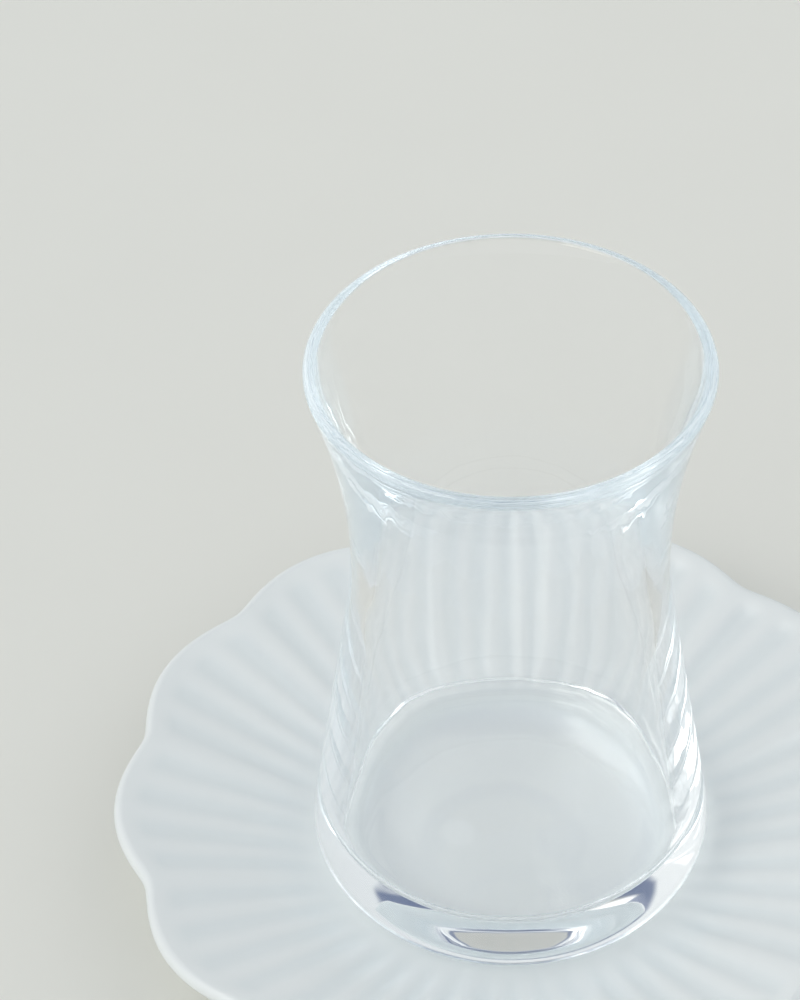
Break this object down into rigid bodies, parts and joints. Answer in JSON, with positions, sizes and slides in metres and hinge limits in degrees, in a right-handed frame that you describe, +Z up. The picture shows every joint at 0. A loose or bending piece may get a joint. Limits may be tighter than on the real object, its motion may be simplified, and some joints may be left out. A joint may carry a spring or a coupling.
{
  "type": "tea glass with saucer",
  "caption": "Clear waisted tea glass with a thick base and rounded lip, standing loose in the round well of a white fluted saucer with a scalloped edge.",
  "frame": {"origin": "centre of the saucer's foot ring, on the surface that the saucer stands on", "axes": "+Z up along the common axis of saucer and glass; +X and +Y across the saucer"},
  "size_m": [0.1216, 0.1216, 0.1027],
  "materials": {
    "clear_glass": "polished",
    "white_porcelain": "gloss"
  },
  "bodies": {
    "saucer": {"saucer": "white_porcelain"},
    "tea_glass": {"tea_glass": "clear_glass"}
  },
  "joints": [
    {"name": "glass_lift", "type": "slide", "parent": "saucer", "child": "tea_glass", "axis": [0, 0, 1], "range_m": [0, 0.12]}
  ]
}
